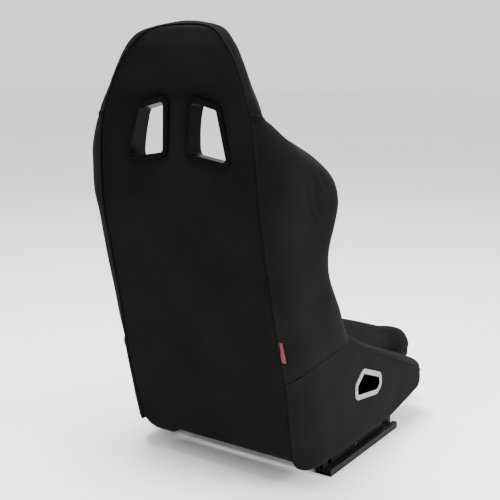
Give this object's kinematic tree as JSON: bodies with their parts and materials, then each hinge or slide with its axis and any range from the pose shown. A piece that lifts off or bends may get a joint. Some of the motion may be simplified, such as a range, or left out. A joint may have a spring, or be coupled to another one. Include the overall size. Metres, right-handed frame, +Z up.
{
  "type": "racing seat",
  "caption": "Fixed-back bucket seat with harness holes, deep side bolsters and a padded head, on sliding floor rails with a lift-up release bar.",
  "frame": {"origin": "centre of the four floor bolt holes, at floor level, with the slider in mid travel", "axes": "+Z up, +Y towards the rear of the seat, +X towards the occupant's left"},
  "size_m": [0.5644, 0.7372, 0.965],
  "materials": {
    "rear_fabric": "matte",
    "pad_fabric": "matte",
    "webbing": "matte",
    "tag_red": "satin",
    "frame_steel": "satin",
    "rail_steel": "satin",
    "zinc_steel": "satin",
    "bezel_black": "gloss",
    "bezel_silver": "satin",
    "grip_rubber": "matte",
    "cage_plastic": "matte"
  },
  "bodies": {
    "floor_rails": {"lower_rail_left": "rail_steel", "lower_rail_right": "rail_steel", "rail_stops": "rail_steel"},
    "seat": {"back_hoop": "frame_steel", "back_pad": "pad_fabric", "back_straps": "webbing", "base_hoop": "frame_steel", "belt_bezel_inner_left": "bezel_black", "belt_bezel_inner_right": "bezel_black", "belt_bezel_outer_left": "bezel_silver", "belt_bezel_outer_right": "bezel_silver", "bolt_washers": "zinc_steel", "harness_bezel_front_left": "bezel_black", "harness_bezel_front_right": "bezel_black", "harness_bezel_rear_left": "bezel_black", "harness_bezel_rear_right": "bezel_black", "head_tube": "frame_steel", "headrest_pad": "pad_fabric", "lever_bushes": "zinc_steel", "lever_pins": "zinc_steel", "lower_back_tube": "frame_steel", "lumbar_tube": "frame_steel", "mount_plates": "frame_steel", "rear_cover": "rear_fabric", "return_springs": "zinc_steel", "seat_bolts": "zinc_steel", "seat_cushion": "pad_fabric", "seat_straps": "webbing", "shoulder_tube": "frame_steel", "side_tag": "tag_red", "spring_posts": "zinc_steel", "strap_clips": "frame_steel", "thigh_bolster_left": "pad_fabric", "thigh_bolster_right": "pad_fabric", "thigh_frame_left": "frame_steel", "thigh_frame_right": "frame_steel", "torso_bolster_left": "pad_fabric", "torso_bolster_right": "pad_fabric", "upper_rail_left": "rail_steel", "upper_rail_right": "rail_steel", "weld_nuts": "zinc_steel", "wing_frame_left": "frame_steel", "wing_frame_right": "frame_steel"},
    "release_bar": {"release_bar": "rail_steel", "bar_grip": "grip_rubber", "lock_lever_left": "rail_steel", "lock_lever_right": "rail_steel"},
    "ball_cage_left": {"ball_cage_left": "cage_plastic", "rail_balls_left": "zinc_steel"},
    "ball_cage_right": {"ball_cage_right": "cage_plastic", "rail_balls_right": "zinc_steel"}
  },
  "joints": [
    {"name": "seat_slide", "type": "slide", "parent": "floor_rails", "child": "seat", "axis": [0, -1, 0], "range_m": [-0.09, 0.09]},
    {"name": "cage_slide_left", "type": "slide", "parent": "floor_rails", "child": "ball_cage_left", "axis": [0, -1, 0], "range_m": [-0.045, 0.045]},
    {"name": "cage_slide_right", "type": "slide", "parent": "floor_rails", "child": "ball_cage_right", "axis": [0, -1, 0], "range_m": [-0.045, 0.045]},
    {"name": "release_lift", "type": "hinge", "parent": "seat", "child": "release_bar", "pos_m": [0, 0.02, 0.0205], "axis": [-1, 0, 0], "range_deg": [-4.2, 5], "stiffness_Nm_per_rad": 4, "springref_deg": -14.32}
  ],
  "couplings": [
    {"joint": "cage_slide_left", "follows": "seat_slide", "ratio": 0.5},
    {"joint": "cage_slide_right", "follows": "seat_slide", "ratio": 0.5}
  ]
}
